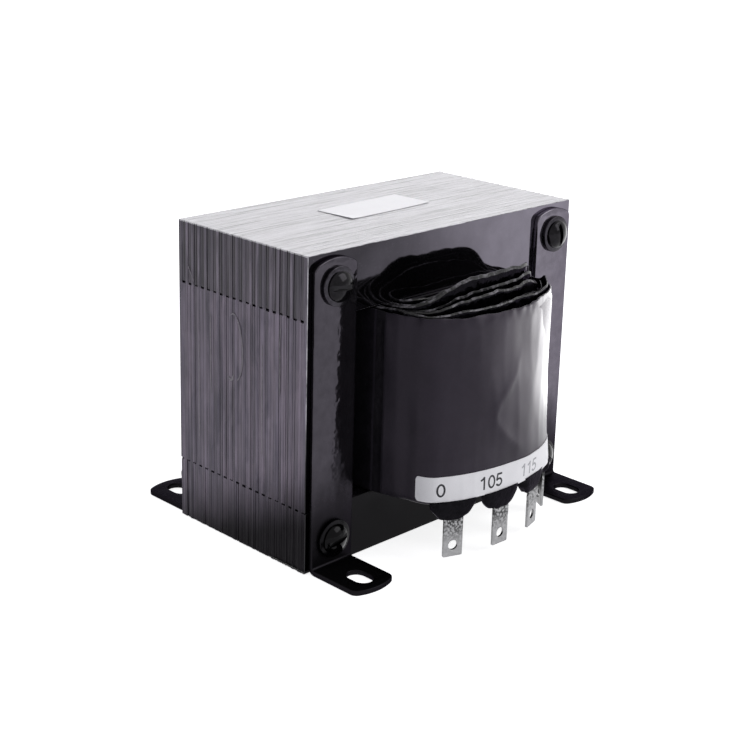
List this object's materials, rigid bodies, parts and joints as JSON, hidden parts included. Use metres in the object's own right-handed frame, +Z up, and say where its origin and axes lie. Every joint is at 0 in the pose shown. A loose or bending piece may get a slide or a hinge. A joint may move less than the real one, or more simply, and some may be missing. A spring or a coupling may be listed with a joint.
{
  "type": "power transformer",
  "caption": "Open-frame chassis power transformer with interleaved E and I laminations, a wrapped coil, hanging solder lugs and slotted foot brackets held by through bolts.",
  "frame": {"origin": "on the mounting plane under the feet, below the middle of the core", "axes": "+Z up, +X along the wide side of the laminations, -Y out of the end with the numbered tap strip"},
  "size_m": [0.1142, 0.1132, 0.0957],
  "materials": {
    "core_laminations": "varnished silicon steel, glossy",
    "former_board": "varnished pressboard",
    "layer_paper": "varnished kraft paper, almost black",
    "copper_wire": "enamelled copper under varnish",
    "coil_wrap": "creased black varnished wrap",
    "label_paper": "white paper",
    "black_bracket": "gloss black varnish",
    "dark_fastener": "dark varnished steel",
    "tinned_lug": "bright tin plate",
    "root_tape": "black tape, varnished"
  },
  "bodies": {
    "root": {"e_laminations_yoke_up": "core_laminations", "i_laminations_lower": "core_laminations", "e_laminations_yoke_down": "core_laminations", "i_laminations_upper": "core_laminations", "coil_former": "former_board", "layer_papers": "layer_paper", "inner_winding": "copper_wire", "outer_winding": "copper_wire", "outer_wrap": "coil_wrap", "tap_strip": "label_paper", "top_label": "label_paper", "front_left_bracket": "black_bracket", "front_right_bracket": "black_bracket", "back_left_bracket": "black_bracket", "back_right_bracket": "black_bracket", "upper_left_bolt": "dark_fastener", "upper_right_bolt": "dark_fastener", "lower_left_bolt": "dark_fastener", "lower_right_bolt": "dark_fastener", "upper_left_nut": "dark_fastener", "upper_right_nut": "dark_fastener", "lower_left_nut": "dark_fastener", "lower_right_nut": "dark_fastener", "front_washers": "dark_fastener", "back_washers": "dark_fastener", "front_lug_1": "tinned_lug", "front_lug_2": "tinned_lug", "front_lug_3": "tinned_lug", "front_lug_4": "tinned_lug", "back_lug_1": "tinned_lug", "back_lug_2": "tinned_lug", "back_lug_3": "tinned_lug", "back_lug_4": "tinned_lug", "front_lug_roots": "root_tape", "back_lug_roots": "root_tape"}
  },
  "joints": []
}
